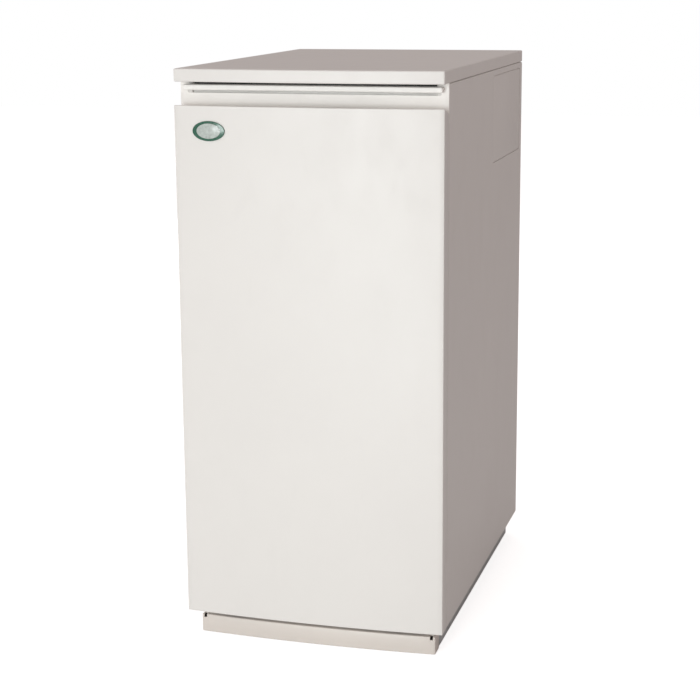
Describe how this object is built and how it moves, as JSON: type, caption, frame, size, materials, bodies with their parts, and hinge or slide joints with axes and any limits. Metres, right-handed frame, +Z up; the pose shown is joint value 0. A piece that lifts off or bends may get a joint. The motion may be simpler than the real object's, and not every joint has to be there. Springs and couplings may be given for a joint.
{
  "type": "floor-standing oil-fired boiler with burner assembly",
  "caption": "Tall white cabinet boiler with a bowed lift-off door, lift-off lid, finger recess, rear flue collar and sockets, and a pressure-jet oil burner inside.",
  "frame": {"origin": "on the floor, under the middle of the bounding box", "axes": "+Z up, +X to the right of someone facing the door, +Y from the door to the back panel"},
  "size_m": [0.4, 0.644, 0.865],
  "materials": {
    "white_paint": "satin white powder coat on steel sheet",
    "black_paint": "satin black paint",
    "galvanised": "zinc-coated steel sheet",
    "boiler_steel": "heat-resistant grey paint on steel plate",
    "insulation": "mineral fibre mat",
    "stainless": "plain stainless sheet",
    "brass": "machined brass",
    "copper": "bright copper pipe",
    "casting": "die-cast aluminium",
    "black_plastic": "moulded black plastic",
    "grey_plastic": "moulded grey plastic",
    "red_plastic": "moulded red plastic",
    "white_ceramic": "fired ceramic and cast refractory",
    "badge_green": "plain green enamel oval"
  },
  "bodies": {
    "case": {"air_intake": "casting", "back_panel": "galvanised", "baffle_lower": "stainless", "baffle_middle": "stainless", "baffle_upper": "stainless", "base_plate": "galvanised", "base_runner_left": "galvanised", "base_runner_right": "galvanised", "blast_tube": "stainless", "boiler_jacket": "boiler_steel", "burner_control_box": "black_plastic", "burner_door": "boiler_steel", "burner_flange": "casting", "burner_housing": "casting", "burner_motor": "black_paint", "cable_gland": "black_plastic", "chamber_liner": "boiler_steel", "cleaning_cover": "boiler_steel", "control_box": "galvanised", "control_fascia": "grey_plastic", "diffuser_disc": "stainless", "drain_valve": "brass", "electrodes": "white_ceramic", "flow_socket": "black_paint", "flue_blank_left": "white_paint", "flue_blank_right": "white_paint", "flue_collar": "stainless", "flue_hood": "stainless", "fuel_pump": "casting", "header_rail": "white_paint", "jacket_insulation": "insulation", "lockout_lamp": "red_plastic", "nozzle_assembly": "brass", "nozzle_pipe": "copper", "oil_feed_pipe": "copper", "oil_inlet_pipe": "copper", "oil_valve": "brass", "photocell": "black_plastic", "plinth": "white_paint", "pump_solenoid": "black_plastic", "refractory_block": "white_ceramic", "return_socket": "black_paint", "side_panel_left": "white_paint", "side_panel_right": "white_paint", "thermostat_phial": "copper"},
    "door": {"front_door": "white_paint", "door_insulation": "insulation", "badge": "badge_green"},
    "lid": {"lid": "white_paint"},
    "thermostat_knob": {"thermostat_knob": "black_plastic"},
    "power_switch": {"power_switch": "red_plastic"},
    "limit_reset_button": {"limit_reset_button": "black_plastic"},
    "burner_reset_button": {"burner_reset_button": "red_plastic"},
    "burner_rotor": {"motor_shaft": "galvanised", "fan_impeller": "galvanised", "pump_coupling": "black_plastic"},
    "air_damper": {"air_damper": "galvanised"},
    "oil_valve_lever": {"oil_valve_lever": "red_plastic"},
    "drain_spindle": {"drain_spindle": "brass"}
  },
  "joints": [
    {"name": "door_tilt", "type": "hinge", "parent": "case", "child": "door", "pos_m": [0, -0.302, 0.0406], "axis": [1, 0, 0], "range_deg": [0, 60]},
    {"name": "lid_lift", "type": "slide", "parent": "case", "child": "lid", "axis": [0, 0, 1], "range_m": [0, 0.2]},
    {"name": "thermostat_turn", "type": "hinge", "parent": "case", "child": "thermostat_knob", "pos_m": [-0.095, -0.254, 0.738], "axis": [0, 1, 0], "range_deg": [0, 270]},
    {"name": "power_rocker", "type": "hinge", "parent": "case", "child": "power_switch", "pos_m": [0.105, -0.252, 0.738], "axis": [-1, 0, 0], "range_deg": [0, 18]},
    {"name": "limit_reset_press", "type": "slide", "parent": "case", "child": "limit_reset_button", "axis": [0, 1, 0], "range_m": [0, 0.004], "stiffness_N_per_m": 300},
    {"name": "burner_reset_press", "type": "slide", "parent": "case", "child": "burner_reset_button", "axis": [0, 1, 0], "range_m": [0, 0.003], "stiffness_N_per_m": 300},
    {"name": "burner_rotor_spin", "type": "hinge", "parent": "case", "child": "burner_rotor", "pos_m": [0, -0.188, 0.292], "axis": [1, 0, 0], "continuous": true},
    {"name": "air_damper_turn", "type": "hinge", "parent": "case", "child": "air_damper", "pos_m": [0.0505, -0.188, 0.194], "axis": [0, 1, 0], "range_deg": [0, 80]},
    {"name": "oil_valve_turn", "type": "hinge", "parent": "case", "child": "oil_valve_lever", "pos_m": [0.158, -0.205, 0.076], "axis": [0, 0, 1], "range_deg": [0, 90]},
    {"name": "drain_spindle_turn", "type": "hinge", "parent": "case", "child": "drain_spindle", "pos_m": [0.122, -0.102, 0.1], "axis": [0, 1, 0], "range_deg": [0, 360]}
  ]
}
